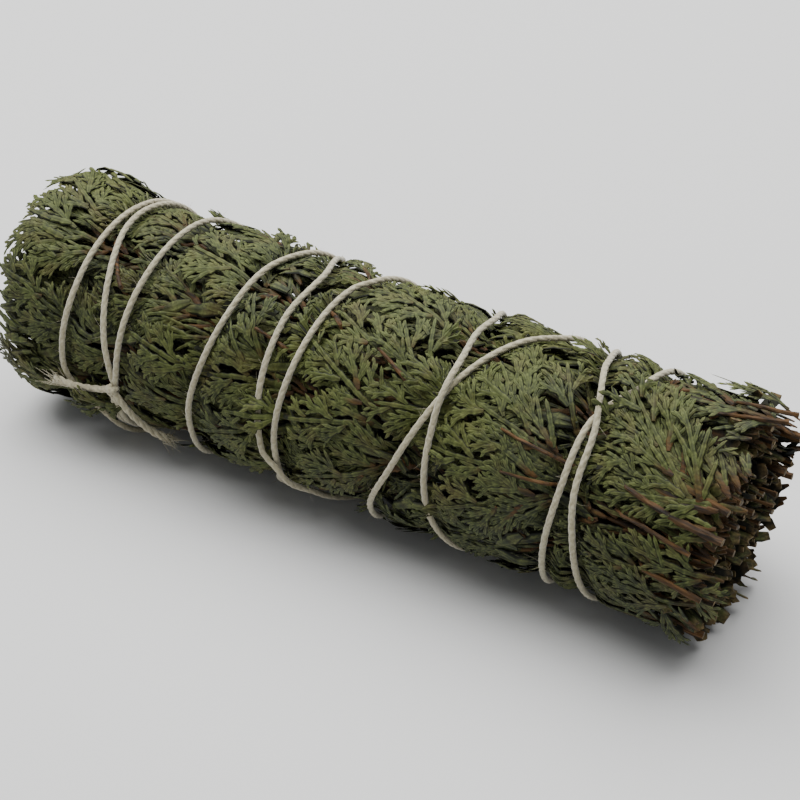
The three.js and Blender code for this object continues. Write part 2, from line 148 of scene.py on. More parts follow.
TWIG_PITCH = 1.0  # the same along a shoot
TWIG_ANGLE = 21.0
TWIG_REACH = (2.4, 0.5, 0.8)
SPARSE_FROM = 13.0  # down the stem, past which shoots are covered, fewer and plainer
STRAIGHT = 1e-4  # the least bend, in radians a millimetre

# How the leaves give way to the string and spring back between its turns
SWELL = 1.6
SWELL_REACH = 1.7  # from a turn, along x
STILL_RADIUS = 6.0  # leaves within it don't move
PUFF = 0.9  # how far the sprays' sunken bases spring back up
PUFF_DEPTH = 1.2
PUFF_RADII = (8.0, 11.0)  # between which they come to do so in full
INNER_SPRING = 0.8  # of what the outer leaves do
ROUNDING = 2.2  # how far the edge of the leafy end draws in
ROUNDING_X = (51.5, 58.0)  # along -x
TURN_STEP = 0.5  # along x, of the table of turns
FAR = 40.0  # from any turn

# Tints, in steps from a middling leaf. The first is painted shade: the deeper a leaf lies in the
# bunch, the darker it is painted, as shade falls there
DEEP_PAINTED_SHADE = 0.8  # darker by this for each millimetre down into the bunch
# Painted shade: leaves towards the cut end, where less light falls, are painted darker
CUT_END_PAINTED_SHADE = 0.8  # and by this towards the cut end
CUT_END_SHADE_X = (5, 30)


def smoothstep(x, low, high):
    """3t^2 - 2t^3 of the share t of the way from low to high, held between 0 and 1."""
    t = np.clip((x - low) / (high - low), 0, 1)
    return t * t * (3 - 2 * t)


def scatter(n, kind):
    """A repeatable value from -1 to 1 for the nth of something, from two irrational strides."""
    v = n * 0.7548776662 + kind * 0.569840291
    return 2 * (v - np.floor(v)) - 1


def xyz(x, y, z):
    """Points from their three coordinates."""
    return np.stack(np.broadcast_arrays(x, y, z), axis=-1)


def unit(v):
    """Vectors made one long."""
    return v / np.linalg.norm(v, axis=-1, keepdims=True)


def ahead_of(at):
    """Unit directions along a line of points, from each one's neighbours."""
    return unit(np.gradient(at, axis=0))


def facing(along, away):
    """Unit directions across a line: the one nearest to away, and the one beside it."""
    up = unit(away - along * (away * along).sum(axis=1, keepdims=True))
    return up, np.cross(along, up)


def circles(up, aside, sides):
    """Points round unit circles: the cosine of the turn along up, its sine along aside."""
    turn = np.linspace(0, 2 * np.pi, sides, endpoint=False)[:, None]
    return np.cos(turn) * up[:, None] + np.sin(turn) * aside[:, None]


def outward(angle):
    """Unit directions away from the middle line."""
    a = np.radians(angle)
    return xyz(0.0, -np.sin(a), np.cos(a))


def outer_radius(x, angle):
    """Radius over the leaves: it tapers with x, and flares at the top of the leafy end."""
    flare = FLARE * (1 - smoothstep(x, *FLARE_X))
    return BUNDLE_RADIUS - TAPER * x + flare * np.maximum(0, np.cos(np.radians(angle)))


def place(x, radius, angle):
    """The point at x, radius and angle, its underside pressed flat in proportion: the radius is
    divided by the PRESS_POWER-norm of 1 and the depth of the leaves over the rest depth."""
    a = np.radians(angle)
    share = outer_radius(x, angle) * np.maximum(0, -np.cos(a)) / REST_DEPTH
    press = (1 + share**PRESS_POWER) ** (-1 / PRESS_POWER)
    return xyz(x, -radius * press * np.sin(a), radius * press * np.cos(a))


# The string's route


def through(stations, t):
    """Values at t of a cubic Hermite curve through (t, value) stations whose t falls, the slope
    at each being that of the line from the one before to the one after it."""
    at, value = np.array(stations, float).T
    number = np.arange(len(at))
    before, after = np.maximum(number - 1, 0), np.minimum(number + 1, number[-1])
    slope = (value[after] - value[before]) / (at[after] - at[before])
    i = np.clip(np.searchsorted(-at, -t, side="left"), 1, number[-1])
    span = at[i] - at[i - 1]
    u = (t - at[i - 1]) / span
    return (
        value[i - 1] * (2 * u**3 - 3 * u**2 + 1)
        + slope[i - 1] * span * (u**3 - 2 * u**2 + u)
        + value[i] * (3 * u**2 - 2 * u**3)
        + slope[i] * span * (u**3 - u**2)
    )


def on_string(angle, x, lift):
    """Points on the string's line, sunk a little into the leaves and never below its flat
    underside, and the directions that face away from the leaves there."""
    above = STRING_CLEARANCE + STRING_DIAMETER / 2
    radius = outer_radius(x, angle) + above + lift - STRING_SINK
    a = np.radians(angle)
    high = np.maximum(radius * np.cos(a), -(REST_DEPTH + above))
    return xyz(x, -radius * np.sin(a), high), outward(angle)


def wound_line(stations, step):
    """A wound length of string every step degrees: points, outward directions, angles and x.
    Where it climbs over another turn it lifts by a squared cosine of the distance from the
    crossing."""
    first, last = stations[0][0], stations[-1][0]
    angle = np.linspace(first, last, int(np.ceil((first - last) / step)) + 1)
    at, half = np.array(CROSSINGS, float).T
    near = np.clip(np.abs(angle[:, None] - at) / (CROSSING_HUG * half), 0, 1)
    lift = (CROSSING_HUG * CROSSING_LIFT * np.cos(near * np.pi / 2) ** 2).max(axis=1)
    x = through(stations, angle)
    return (*on_string(angle, x, lift), angle, x)


def turn_table():
    """Distance along x from any place on the stick to the nearest turn of string at that angle,
    on a grid of whole degrees by TURN_STEP."""
    xs = np.arange(-70, 60, TURN_STEP)
    table = np.full((360, len(xs)), FAR)
    for stations in (FIRST_LOOP, WINDING):
        _, _, angle, x = wound_line(stations, 1)
        rows = np.round(angle).astype(int) % 360
        np.minimum.at(table, rows, np.abs(xs[None, :] - x[:, None]))
    return xs, table


TURN_XS, TURN_TABLE = turn_table()

# Bumps in the outer leaves, which hide a stretch of string or fill out the leafy end: x, angle,
# half width in x, half angle, height
BUMPS = [
    (-12.0, 90, 4.0, 15, 1.9), (29.6, 17, 2.6, 9, 1.9), (32.8, 8, 2.6, 14, 1.9),
    (33.6, -18, 2.8, 11, 2.0), (-52.5, -34, 3.8, 40, 2.3), (11.5, 101, 3.0, 7, 1.8),
    (-41.0, 115, 3.0, 12, 1.9), (-36.0, 116, 2.0, 10, 1.7), (-4.0, 124, 4.5, 8, 1.5),
]

# Single fronds that the photo shows lying on top: the tip's x and angle, the slant, length,
# envelope, height, share of the stem that is bark, and shade
TOP_FRONDS = [
    (12.5, 36, 13, 20, 0.65, 0.3, 0.5, 0.1), (10.5, 66, -2, 19, 0.65, 0.25, 0.5, -0.1),
    (13, 97, -24, 20, 0.6, 0.2, 0.1, -0.2), (24.4, 8, 57, 9.5, 0.75, 0.5, 0, 0.3),
    (17, 18, 45, 10.5, 0.85, 0.4, 0.2, 0.4), (13.9, 26, 46, 8, 0.8, 0.35, 0.1, 0.3),
    (3, 14, 50, 8, 0.85, 0.3, 0, 0.5), (6.4, 8, 66, 7.5, 0.8, 0.45, 0, 0.6),
    (-9.4, 33, 25, 17.5, 0.55, 0.45, 0.2, 0.5), (-8, 77, -13, 13.5, 0.6, 0.3, 0.1, 0),
    (-9, 14, 22, 19, 0.6, 0.35, 0.4, 0.3), (-20, 38, 46, 8.5, 0.75, 0.35, 0.3, 0.2),
    (-17.2, 26, 60, 9, 0.7, 0.4, 0.2, 0.4), (-24.8, -20, 31, 13, 0.7, 0.3, 0.1, 0.1),
    (31.2, 4, 40, 21.5, 0.85, 0.9, 0.1, 0.7), (28.9, 85, 3, 19.5, 0.55, 0.3, 0.45, -0.3),
    (34.8, 97, 4, 14, 0.6, 0.25, 0.2, -0.4), (-44.5, 117, -12, 12, 0.55, 0.8, 0.2, -0.4),
    (-57.2, -9, 23, 15, 0.65, 0.3, 0.3, 0.2), (-56.4, 53, 10, 12.5, 0.6, 0.3, 0.1, -0.1),
    (-56, 104, 10, 12, 0.6, 0.3, 0.1, -0.4), (-33, 62, 12, 12, 0.6, 0.3, 0.1, 0),
    (-0.3, -3, 17, 10.5, 0.7, 0.4, 0.1, 0.4), (39, 3, -12, 12.5, 0.5, 0.3, 0.6, -0.3),
    (36, 57, -12, 15, 0.5, 0.45, 0.2, 0.2), (38.5, 76, 6, 12, 0.5, 0.4, 0.2, 0),
    (38.5, -32, 6, 12, 0.6, 0.5, 0.3, -0.9), (-16, 83, -8, 10, 0.6, 0.55, 0, 0.1),
    (43.7, 134, -88, 8.5, 0.7, 0.3, 0, -0.6), (51.2, 87, 176, 6.5, 0.8, 0, 0, -0.6),
    (45.6, 21, 118, 5, 0.9, 0.7, 0, 0.5), (-6, 108, -22, 14, 0.6, 0.2, 0.1, -0.4),
    (-21.4, 102, -18, 12, 0.6, 0.2, 0.1, -0.3),
]
FROND_LEAN = 0.06

# Places (x, angle) along a bare stem, its radius at both ends, tint, and whether it ends cut
BARE_STEMS = [
    ([(35.5, 51), (39.5, 55), (44.2, 59), (49.6, 61)], (0.2, 0.52), 1.2, True),
    ([(36.5, 64), (40.6, 66), (46.4, 71)], (0.16, 0.32), 0.4, True),
    ([(40.5, 84), (43.5, 86), (48.6, 90)], (0.2, 0.4), 0.8, True),
    ([(19.6, 46), (23.2, 49), (27.9, 51), (31.5, 53)], (0.16, 0.27), 1.2, False),
    ([(21, 65), (25.5, 64), (29.5, 63)], (0.15, 0.24), 0.9, False),
    ([(-41.3, 20), (-38.5, 34), (-34.5, 49)], (0.25, 0.3), 0.9, False),
    ([(-15.6, 41), (-12.5, 43), (-9.3, 46)], (0.2, 0.27), 0.9, False),
    ([(-7.3, 19), (-5.6, 23), (-3.4, 29)], (0.25, 0.32), 1.4, False),
    ([(1.2, 30), (4.5, 36), (8.2, 43)], (0.2, 0.28), 1.2, False),
    ([(42, 8), (46, 3), (50.5, -3)], (0.18, 0.34), 1.2, True),
    ([(43, -4), (46.5, -8), (50.8, -12)], (0.18, 0.32), 1.0, True),
]


def swell(x, angle, radius):
    """How far the leaves at a place stand out. The deeper they lie the more they spring back, by
    one minus an exponential. Between turns of string they rise by one minus a Gaussian of the
    distance from the nearest, less with depth and less underneath. At BUMPS the topmost rise by
    an exponential of a fourth power, and the leafy end's edge draws in by a smoothstep."""
    column = np.clip(np.round((x - TURN_XS[0]) / TURN_STEP).astype(int), 0, len(TURN_XS) - 1)
    away = TURN_TABLE[np.round(angle).astype(int) % 360, column]
    outer = outer_radius(x, angle)
    way_out = np.clip((radius - STILL_RADIUS) / (outer - STILL_RADIUS), 0, 1.1)
    under = 1 - 0.8 * smoothstep(-np.cos(np.radians(angle)), 0.6, 0.95)
    sprung = PUFF * (1 - np.exp(-np.maximum(0, outer - radius) / PUFF_DEPTH))
    low, high = PUFF_RADII
    lift = sprung * np.clip((radius - low) / (high - low), 0, 1)
    lift = lift + SWELL * (1 - np.exp(-((away / SWELL_REACH) ** 2))) * way_out * under
    topmost = smoothstep(radius, outer - 1.6, outer - 0.5)
    bump = 0.0
    for at_x, at_angle, half_x, half_angle, height in BUMPS:
        turned = (angle - at_angle + 180) % 360 - 180
        near = ((x - at_x) / half_x) ** 2 + (turned / half_angle) ** 2
        bump = np.maximum(bump, height * np.exp(-(near**2)))
    drawn_in = ROUNDING * smoothstep(-x, *ROUNDING_X) * np.clip(way_out, 0, 1)
    return np.maximum(lift, bump * topmost) + 0.15 * bump * topmost - drawn_in


def swollen(x, angle, radius, share=1.0):
    """Points at a radius, moved out by a share of the leaves' swell there."""
    return place(x, radius + share * swell(x, angle, radius), angle)


# Meshes


# The layout's place in the shared frame: the inner stems' bunch starts at a known x, the solids'
# box is centred in y, and the six-sided string's flat underside is at a known depth.
SHIFT_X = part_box("inner_stems")[0][0] * 1000 - (MEETING_X + GAP / 2)
FLOOR_Z = -(REST_DEPTH + STRING_CLEARANCE + STRING_DIAMETER / 2 * (1 + np.cos(np.pi / 6)))
SHIFT = np.array([SHIFT_X, SHIFT_Y, -FLOOR_Z])


def to_frame(points):
    """Layout millimetres as metres in the shared frame."""
    return (points + SHIFT) / 1000


def shown(name, data):
    """A new object in the scene."""
    made = bpy.data.objects.new(name, data)
    bpy.context.scene.collection.objects.link(made)
    return made


class Pile:
    """Closed tubes gathered into one mesh: points, faces of each size, and a mark for each
    point, four numbers that the leaves' material reads: tint, rim, wood and cut. The tint
    holds painted shade as well as a random tone, and the rim a painted highlight and painted shade."""

    def __init__(self):
        self.points, self.marks, self.faces, self.count = [], [], {}, 0

    def tubes(self, grid, placed=None, tint=0.0, rim=0.0, wood=0.0, cut=0.0):
        """Closed tubes from a grid (tubes, rings, sides, 3) of points: four-sided faces between
        rings, one face over each end. A tube of negative volume has the order of its sides
        turned round, so that every face looks outwards. The tint falls with depth and with x:
        that is painted shade, darker down in the bunch and towards the cut end."""
        if placed:
            grid = placed(*np.moveaxis(grid, -1, 0))
        # Painted shade: the tint falls for each millimetre under the bunch's outside and towards
        # the cut end
        deep = np.clip(BUNDLE_RADIUS + 1 - np.hypot(grid[..., 1], grid[..., 2]), 0, 5)
        painted_shade = DEEP_PAINTED_SHADE * deep + CUT_END_PAINTED_SHADE * smoothstep(grid[..., 0], *CUT_END_SHADE_X)
        marks = np.stack(np.broadcast_arrays(tint - painted_shade, rim, wood, cut), axis=-1)
        across = np.roll(grid, -1, axis=2)[:, :-1] - grid[:, :-1]
        along = grid[:, 1:] - grid[:, :-1]
        middle = grid[:, :-1].mean(axis=2, keepdims=True)
        volume = (np.cross(across, along) * (grid[:, :-1] - middle)).sum(axis=(1, 2, 3))
        inside_out = volume[:, None, None, None] < 0
        grid, marks = (np.where(inside_out, v[:, :, ::-1], v) for v in (grid, marks))
        index = self.count + np.arange(deep.size).reshape(deep.shape)
        turned = np.roll(index, -1, axis=2)
        quads = np.stack([index[:, :-1], turned[:, :-1], turned[:, 1:], index[:, 1:]], axis=-1)
        caps = np.concatenate([index[:, 0, ::-1], index[:, -1]])
        for faces in (quads.reshape(-1, 4), caps):
            self.faces.setdefault(faces.shape[1], []).append(faces)
        self.points.append(grid.reshape(-1, 3))
        self.marks.append(marks.reshape(-1, 4))
        self.count += deep.size

    def piece(self, name, material, slot, *nodes, smooth=False):
        """The mesh as an object at the frame's origin that stands for the given nodes."""
        mesh = bpy.data.meshes.new(name)
        points = to_frame(np.concatenate(self.points))
        blocks = [np.concatenate(blocks) for blocks in self.faces.values()]
        corners = np.concatenate([block.ravel() for block in blocks]).astype(np.int32)
        sizes = np.concatenate([np.full(len(b), b.shape[1]) for b in blocks]).astype(np.int32)
        mesh.vertices.add(len(points))
        mesh.vertices.foreach_set("co", points.ravel().astype(np.float32))
        mesh.loops.add(len(corners))
        mesh.loops.foreach_set("vertex_index", corners)
        mesh.polygons.add(len(sizes))
        mesh.polygons.foreach_set("loop_start", (np.cumsum(sizes) - sizes).astype(np.int32))
        mesh.polygons.foreach_set("loop_total", sizes)
        mesh.polygons.foreach_set("use_smooth", np.full(len(sizes), smooth))
        mark = mesh.attributes.new("mark", "FLOAT_COLOR", "POINT")
        mark.data.foreach_set("color", np.concatenate(self.marks).ravel().astype(np.float32))
        mesh.update()
        mesh.validate()
        mesh.materials.append(material)
        piece = shown(name, mesh)
        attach(piece, "root")
        if nodes:
            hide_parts(*nodes)


# Foliage

# A twig's section, as across and up against its half width and height: a flat underside, two
# shoulders and a ridge. Its rim mark is painted shade at the edges, where the twigs shadow
# each other, and a painted highlight on the shoulders.
SECTION = np.array([(1, 0), (0.62, 0.78), (0, 1), (-0.62, 0.78), (-1, 0)])
SECTION_HIGHLIGHT_AND_SHADE = np.array([-1.0, 0.45, 0.0, 0.45, -1.0])
# A scale has two rings, at these shares of its length: narrow, high and painted dark, as shade,
# where it comes out from under the one before it, then wide, low and painted pale, as a highlight.
PHASES = np.array([0.08, 0.84])
EDGE_PAIR = np.array([0.84, 1.1])
FACE_PAIR = np.array([1.1, 0.88])
SCALE_HIGHLIGHT_AND_SHADE = np.array([-0.25, 0.2])
# The tip's rim mark is a painted highlight.
TIP_HIGHLIGHT = 0.3
TIP_REACH = 0.25  # of a scale's length, from the last scale to the shoot's tip

COLUMNS = (
    "down", "out", "heading", "bend", "length", "width", "taper", "stub", "lift", "rise",
    "tipped", "tint", "wood",
)


def shoots(**values):
    """Leafy shoots drawn flat, each one arc, as an array of numbers for each of COLUMNS."""
    columns = [np.atleast_1d(values.get(c, 0.0)).astype(float) for c in COLUMNS]
    return dict(zip(COLUMNS, np.broadcast_arrays(*columns)))


def chosen(group, keep):
    """The shoots of a group for which keep is true."""
    return {c: v[keep] for c, v in group.items()}


def arc(group, s):
    """Down, out and heading at distances s along a group's shoots, which are arcs: they head away
    from the stem's own direction by an angle, and turn by bend for each millimetre."""
    heading, bend = group["heading"], group["bend"]
    bend = np.where(np.abs(bend) < STRAIGHT, STRAIGHT, bend)
    turned = heading + bend * s
    down = group["down"] - (np.sin(turned) - np.sin(heading)) / bend
    out = group["out"] + (np.cos(heading) - np.cos(turned)) / bend
    return down, out, turned


def swept(down, out, bend):
    """A flat place after the leafy end of its stem has bent into an arc: where the stem was
    straight from SWEEP_FROM to its tip it turns by bend for each millimetre."""
    run = np.maximum(0, SWEEP_FROM - down)
    bend = bend if abs(bend) > STRAIGHT else STRAIGHT
    turn = bend * run
    return (
        down + run - np.sin(turn) / bend + out * np.sin(turn),
        (1 - np.cos(turn)) / bend + out * np.cos(turn),
    )


def askew(x, angle, tilt, down, out):
    """The x and angle of a flat place on a spray whose tip is at x and angle, turned by a tilt
    and rolled round the bundle."""
    around = (down * np.sin(tilt) + out * np.cos(tilt)) / BUNDLE_RADIUS
    return x + down * np.cos(tilt) - out * np.sin(tilt), angle + np.degrees(around)


def grow(pile, placed, groups):
    """Puts every shoot of some groups into a pile, with those that have as many scales."""
    value = {c: np.concatenate([group[c] for group in groups]) for c in COLUMNS}
    size = SCALE * (value["width"] / TWIG_HALF_WIDTH) ** 0.8
    scales = np.maximum(1, np.round(value["length"] / size)).astype(int)
    for k in np.unique(scales):
        grow_alike(pile, placed, {c: v[scales == k, None] for c, v in value.items()}, k)


def grow_alike(pile, placed, value, k):
    """Shoots of k scales: tubes of SECTION along their arcs, two rings a scale and one at the
    tip. The half width and height follow the edge and face pairs and narrow by the taper times a
    power of the way along. A shoot ends in a blunt point, or in a flat cut if it is a stub."""
    step = np.r_[(np.arange(k)[:, None] + PHASES).ravel(), k + TIP_REACH] / (k + TIP_REACH)
    s = value["length"] * step
    ends = np.r_[0.55, np.ones(2 * k - 2), 0.8, 0.16]
    ends = np.maximum(ends, value["stub"] * np.r_[np.zeros(2 * k - 1), 0.95, 0.8])
    ends = (1 - value["taper"] * step**1.5) * ends
    wide = value["width"] * ends * np.r_[np.tile(EDGE_PAIR, k), 1.0]
    tall = TWIG_HEIGHT * (value["width"] / TWIG_HALF_WIDTH) ** 0.6 * ends
    tall = tall * np.r_[np.tile(FACE_PAIR, k), 1.0]
    across, up = SECTION[:, 0] * wide[..., None], SECTION[:, 1] * tall[..., None]
    roll = -np.arctan(value["tipped"])[..., None]
    side = across * np.cos(roll) - up * np.sin(roll)
    high = across * np.sin(roll) + up * np.cos(roll)
    lift = value["lift"] + value["rise"] * s
    down, out, turned, lift = (v[..., None] for v in (*arc(value, s), lift))
    pile.tubes(
        xyz(down + side * np.sin(turned), out + side * np.cos(turned), lift + high),
        placed,
        tint=value["tint"][..., None],
        # The rim mark: painted shade at the edges and scale bases, painted highlight on shoulders
        # and tips
        rim=np.r_[np.tile(SCALE_HIGHLIGHT_AND_SHADE, k), TIP_HIGHLIGHT][:, None] + SECTION_HIGHLIGHT_AND_SHADE,
        wood=np.clip((value["wood"] - step) * 3, 0, 1)[..., None],
        cut=value["stub"][..., None] * np.r_[np.zeros(2 * k), 1.0][:, None],
    )


def side_shoots(rng, parent, first, pitch, angle, reach, width, shade):
    """Side shoots left and right in turn along every parent shoot, pitch apart, each turned from
    it by the angle and curving back a little. Their length is a share of what is left of the
    parent and a little more, up to a limit. They lie in its plane, tipped a little."""
    pitch = np.broadcast_to(pitch, parent["length"].shape)
    count = np.maximum(0, np.ceil((parent["length"] - first - 0.3 * pitch) / pitch)).astype(int)
    which = np.repeat(np.arange(len(count)), count)
    many = len(which)
    number = np.arange(many) - np.repeat(np.cumsum(count) - count, count)
    p = chosen(parent, which)
    s = first + (number + 0.25 * rng.uniform(-1, 1, many)) * pitch[which]
    down, out, turned = arc(p, s)
    hand = np.where(number % 2, 1.0, -1.0)
    fork = np.radians(angle * (1 + 0.1 * rng.standard_normal(many)))
    longest, share, more = reach
    return shoots(
        down=down, out=out, heading=turned + hand * fork, bend=-hand * rng.uniform(0.0, 0.07, many),
        length=np.minimum(longest, share * (p["length"] - s) + more)
        * rng.uniform(0.82, 1.14, many),
        width=width * rng.uniform(0.88, 1.1, many), taper=0.25,
        lift=p["lift"] + p["rise"] * s + 0.05 * rng.standard_normal(many),
        rise=p["rise"] + 0.5 * hand * p["tipped"] + 0.03 * rng.standard_normal(many),
        tipped=p["tipped"] + 0.14 * rng.standard_normal(many),
        tint=p["tint"] + shade * rng.standard_normal(many),
    )


def branch_out(rng, first, last, envelope=1.0, tint=0.0, stem_end=np.inf, pitch=BRANCH_PITCH):
    """Side branches left and right of a stem that is drawn flat, from one distance down it to
    another, with their side shoots and the twigs on those. Each lies in a plane of its own, a
    little above or below the next and tipped. Past the stem's cut end a branch starts where it
    would have crossed the cut."""
    at = np.arange(first, last, pitch)
    at = at + 0.3 * pitch * rng.uniform(-1, 1, len(at))
    side = np.where(np.arange(len(at)) % 2, 1.0, -1.0)
    angle = np.radians(BRANCH_ANGLE + 6 * rng.uniform(-1, 1, len(at)))
    length = envelope * np.interp(at, BRANCH_AT, BRANCH_LENGTH) * rng.uniform(0.75, 1.15, len(at))
    beyond = np.maximum(0, at - stem_end)
    length = length - beyond / np.cos(angle)
    keep = length > 2
    at, side, angle, length, beyond = (v[keep] for v in (at, side, angle, length, beyond))
    many = len(at)
    layer = np.where(np.arange(many) // 2 % 2, 0.16, -0.16)
    branches = shoots(
        down=at - beyond - np.where(beyond > 0, 0.7 * rng.uniform(0, 1, many), 0),
        out=side * (0.3 + beyond * np.tan(angle)), heading=side * angle,
        bend=-side * rng.uniform(0.015, 0.04, many), length=length,
        width=BRANCH_HALF_WIDTH * rng.uniform(0.95, 1.1, many), taper=0.35,
        lift=0.5 + layer + 0.12 * rng.standard_normal(many),
        rise=np.clip(0.025 * rng.standard_normal(many), -0.04, 0.06),
        tipped=0.12 * rng.standard_normal(many), tint=tint + 0.35 * rng.standard_normal(many),
        wood=np.clip((at - 8) / 14, 0, 0.45) + 0.15 * (rng.uniform(0, 1, many) > 0.6),
    )
    pitch = np.where(branches["down"] > SPARSE_FROM + 3, 1.5, 1.0) * SHOOT_PITCH
    sides = side_shoots(
        rng, branches, 0.8, pitch, SHOOT_ANGLE, SHOOT_REACH, SHOOT_HALF_WIDTH, 0.28
    )
    in_view = chosen(sides, (sides["length"] > 1.9) & (sides["down"] < SPARSE_FROM))
    twigs = side_shoots(
        rng, in_view, 0.55, TWIG_PITCH, TWIG_ANGLE, TWIG_REACH, TWIG_HALF_WIDTH, 0.2
    )
    return [branches, sides, twigs]


def sawn_off(size, cut):
    """A stem's radii, with two more just inside the rim if it is cut, and their cut marks."""
    if not cut:
        return size, np.zeros(len(size))
    return np.r_[size, size[-1] * 0.94, size[-1] * 0.45], np.r_[np.zeros(len(size)), 1, 1]


def stem_tube(pile, placed, start, end, radii, tint, rng, cut=False, pitch=2.0):
    """A bare stem drawn flat from start to end: a tube whose radius runs through radii, slim at
    its start by a smoothstep and uneven, and whose middle wanders aside by a sine."""
    s = np.linspace(start, end, max(3, int((end - start) / pitch)))
    radius = np.interp(np.linspace(0, 1, len(s)), np.linspace(0, 1, len(radii)), radii)
    radius, sawn = sawn_off(radius * (0.2 + 0.8 * smoothstep(s - start, 0, 4)), cut)
    if cut:
        s = np.r_[s, end, end + CUT_CROWN]
    turn = np.linspace(0, 2 * np.pi, STEM_SIDES, endpoint=False)
    size = radius[:, None] * (1 + 0.08 * rng.standard_normal((len(s), STEM_SIDES)))
    wander = 0.12 * np.sin(s * 0.4 + rng.uniform(0, 6))[:, None]
    grid = xyz(s[:, None], wander + size * np.cos(turn), 0.1 + size * np.sin(turn))
    pile.tubes(grid[None], placed, tint, rng.uniform(0, 1, size.shape), 1.0, sawn[:, None])


def nearest_spray(x, angle):
    """The outer spray whose leafy half lies nearest to a place."""
    n = np.arange(FIRST_SPRAY, LAST_SPRAY + 1)
    turned = (FIRST_ANGLE + n * GOLDEN_ANGLE - angle + 180) % 360 - 180
    along = TIPS_X + n * SPRAY_STEP + 12 - x
    return n[np.argmin(np.hypot(np.radians(turned) * BUNDLE_RADIUS, along))]


def top_frond(pile, rng, tip_x, tip_angle, tilt, length, envelope, height, brown, shade):
    """A frond laid over the others at a slant from its tip, sinking in by FROND_LEAN for each
    millimetre down its stem, and by a smoothstep at its base."""
    slant = np.radians(tilt)

    def placed(down, out, lift):
        px, pa = askew(tip_x, tip_angle, slant, down, out)
        sunk = FROND_LEAN * down + 1.4 * smoothstep(down, length - 5.0, length + 0.5)
        return swollen(px, pa, outer_radius(px, pa) - RIDGE + height - sunk + lift)

    groups = branch_out(rng, 0.6, length - 1.5, envelope, shade)
    stem = shoots(
        down=length, length=length + 0.4, width=0.42, taper=0.45, lift=0.32, tint=shade - 0.1,
        wood=max(brown, 0.3),
    )
    grow(pile, placed, [*groups, stem])


def bare_stem(pile, rng, stations, radii, tint, cut):
    """A bare stem along the surface through its places: a tube that stands proud of the leaves
    and dips under them, by a smoothstep, at an end that isn't cut."""
    x, angle = np.array(stations, float).T
    knots = np.arange(len(stations))
    t = np.linspace(0, knots[-1], 6 * knots[-1] + 1)
    x, angle = np.interp(t, knots, x), np.interp(t, knots, angle)
    share = t / knots[-1]
    dip = 1.6 * (1 - smoothstep(share, 0, 0.2))
    if not cut:
        dip = dip + 1.6 * smoothstep(share, 0.8, 1)
    middle = swollen(x, angle, outer_radius(x, angle) - 0.2 - dip + 0.1 * np.sin(5 * share + tint))
    along = ahead_of(middle)
    size, sawn = sawn_off(np.interp(share, [0, 1], radii), cut)
    if cut:
        rows = np.minimum(np.arange(len(size)), len(t) - 1)
        middle, along, angle = middle[rows], along[rows], angle[rows]
        middle[-1] += CUT_CROWN * along[-1]
    uneven = size[:, None] * (1 + 0.1 * rng.standard_normal((len(size), STEM_SIDES)))
    ring = circles(*facing(along, outward(angle)), STEM_SIDES)
    grid = middle[:, None] + uneven[..., None] * ring
    pile.tubes(grid[None], tint=tint, wood=1.0, cut=sawn[:, None])


def outer_spray(n, material):
    """Outer spray n, on the same line, slant and depth as its solid."""
    rng = np.random.default_rng(1000 + n)
    start = TIPS_X + n * SPRAY_STEP
    last_start = TIPS_X + LAST_SPRAY * SPRAY_STEP
    x = max(start, TIPS_X) + 1.2 + 1.2 * scatter(n, 1)
    angle = FIRST_ANGLE + n * GOLDEN_ANGLE
    tilt = np.radians(TILT + TILT_SPREAD * scatter(n, 2))
    room = (BUNDLE_RADIUS - RIDGE - CORE_RADIUS - GAP) / LEAN
    cut = start + room > last_start
    cut_x = CUT_X + CUT_SLANT * np.cos(np.radians(angle))
    end = cut_x + scatter(n, 3) if cut else start + room
    length = (end - x) / np.cos(tilt)

    def placed(down, out, lift):
        """Rolls the flat spray round the stick: its leafy end bent aside, askew by the tilt, and
        its back at a depth that grows by LEAN for each millimetre from its tip."""
        down, out = swept(down, out, SWEEP * scatter(n, 12))
        px, pa = askew(x, angle, tilt, down, out)
        layer = outer_radius(px, pa) - RIDGE - LEAN * (np.minimum(px, last_start) - start)
        return swollen(px, pa, np.maximum(layer + lift, 2.0))

    pile = Pile()
    shade = 0.35 * rng.standard_normal()
    # The stem's tip is leafy too, and from there the bark takes over.
    groups = [
        shoots(
            down=LEADER, length=LEADER + 0.3, width=STEM_HALF_WIDTH, taper=0.5, lift=0.4,
            tint=shade, wood=0.35,
        )
    ]
    if cut:
        # Leafy side branches go on down to the cut and past it, and hide most of the bare stem.
        groups += branch_out(rng, 0.6, LEAFY_LENGTH, tint=shade, stem_end=length)
        butt = max(LEAFY_LENGTH, BUTT_X - x)
        groups += branch_out(rng, butt, length + 9, 0.85, shade - 0.5, length, BUTT_PITCH)
    else:
        groups += branch_out(rng, 0.6, min(LEAFY_LENGTH, length - 2.5), tint=shade)
    grow(pile, placed, groups)
    stem_tube(pile, placed, min(12.5, length - 3), length, STEM_RADII, shade, rng, cut)
    for frond in TOP_FRONDS:
        if nearest_spray(frond[0] + 0.5 * frond[3], frond[1]) == n:
            top_frond(pile, rng, *frond)
    for stem in BARE_STEMS:
        if nearest_spray(*stem[0][1]) == n:
            bare_stem(pile, rng, *stem)
    number = f"{n - FIRST_SPRAY + 1:02d}"
    pile.piece(f"spray_{number}_leaves", material, "leaves", f"spray_{number}")


# Inside the bunch

ROD_TIPS_X = -46.5  # where the leafy rod starts, well inside the leafy end
RIM_SPRAYS = 39  # small sprays in three layers under the outer ones' tips
STEM_PITCH = 2.95
THIN_STEMS = 40


